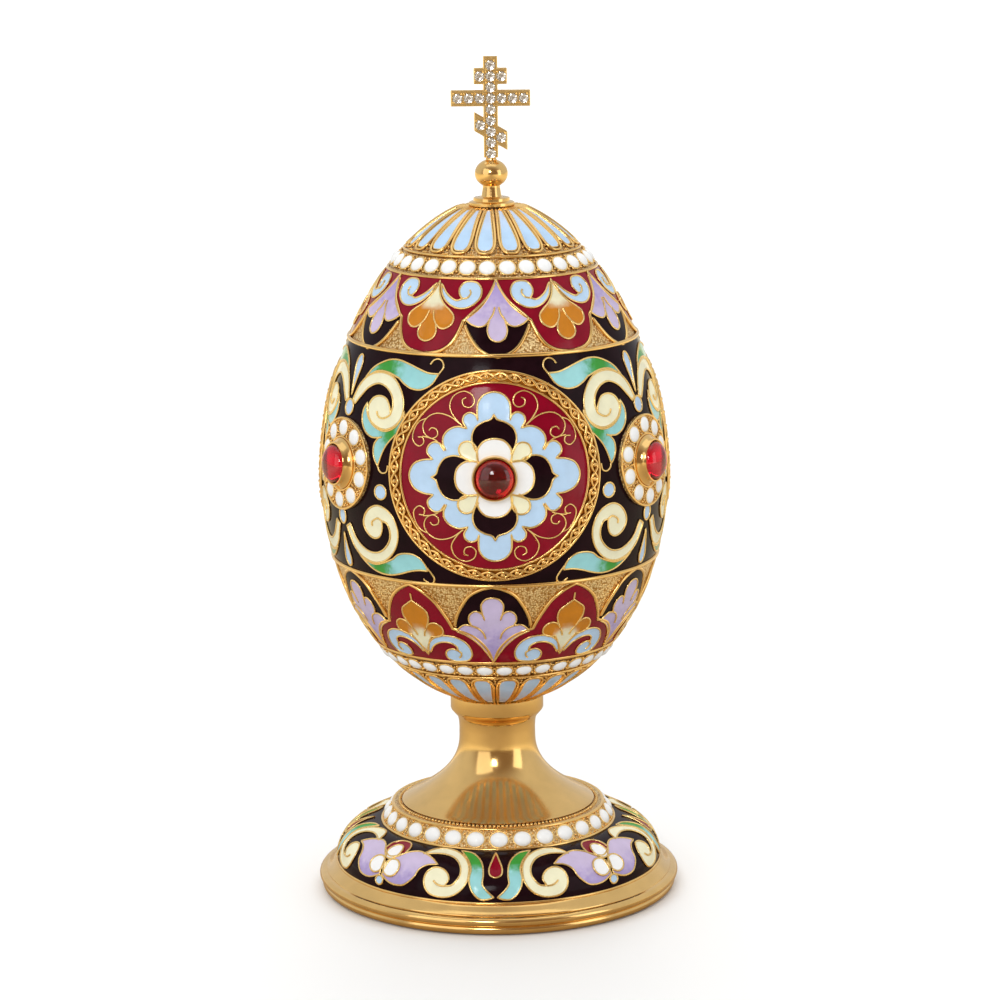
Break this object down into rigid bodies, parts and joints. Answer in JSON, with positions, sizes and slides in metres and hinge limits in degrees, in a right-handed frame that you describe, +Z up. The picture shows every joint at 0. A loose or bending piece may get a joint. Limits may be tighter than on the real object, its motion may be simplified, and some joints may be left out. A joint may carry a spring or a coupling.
{
  "type": "enamelled decorative egg on a stand",
  "caption": "Upright enamelled egg with rope-framed medallions, garnets and beaded bands, on a turned gold foot, topped by a stone-set three-bar cross. A sealed ornament standing on its foot.",
  "frame": {"origin": "centre of the underside of the foot, on the surface it stands on", "axes": "+Z up, the front medallion and the stones of the cross face -Y"},
  "size_m": [0.0694, 0.072, 0.1591],
  "materials": {
    "polished_gold": "polished gold plate",
    "filigree_gold": "gilt filigree wire and stippled ground",
    "dark_enamel": "glossy aubergine black enamel",
    "crimson_enamel": "glossy crimson enamel",
    "sky_enamel": "glossy sky blue enamel",
    "white_enamel": "glossy white and cream enamel",
    "leaf_enamel": "glossy green shading to turquoise enamel",
    "lavender_enamel": "glossy lavender enamel",
    "amber_enamel": "glossy amber enamel",
    "garnet": "polished dark red cabochon",
    "clear_stone": "clear cut stone"
  },
  "bodies": {
    "root": {"foot_rim": "polished_gold", "foot_dome": "dark_enamel", "stem": "polished_gold", "egg_body": "dark_enamel", "medallion_frame_0": "filigree_gold", "medallion_frame_120": "filigree_gold", "medallion_frame_240": "filigree_gold", "rosette_60": "filigree_gold", "rosette_180": "filigree_gold", "rosette_300": "filigree_gold", "garnet_collet_0": "polished_gold", "garnet_0": "garnet", "garnet_collet_60": "polished_gold", "garnet_60": "garnet", "garnet_collet_120": "polished_gold", "garnet_120": "garnet", "garnet_collet_180": "polished_gold", "garnet_180": "garnet", "garnet_collet_240": "polished_gold", "garnet_240": "garnet", "garnet_collet_300": "polished_gold", "garnet_300": "garnet", "finial": "polished_gold", "cross": "polished_gold", "cross_stone_01": "clear_stone", "cross_stone_02": "clear_stone", "cross_stone_03": "clear_stone", "cross_stone_04": "clear_stone", "cross_stone_05": "clear_stone", "cross_stone_06": "clear_stone", "cross_stone_07": "clear_stone", "cross_stone_08": "clear_stone", "cross_stone_09": "clear_stone", "cross_stone_10": "clear_stone", "cross_stone_11": "clear_stone", "cross_stone_12": "clear_stone", "cross_stone_13": "clear_stone", "cross_stone_14": "clear_stone", "cross_stone_15": "clear_stone", "cross_stone_16": "clear_stone", "cross_stone_17": "clear_stone", "cross_stone_18": "clear_stone", "cross_stone_19": "clear_stone"}
  },
  "joints": []
}
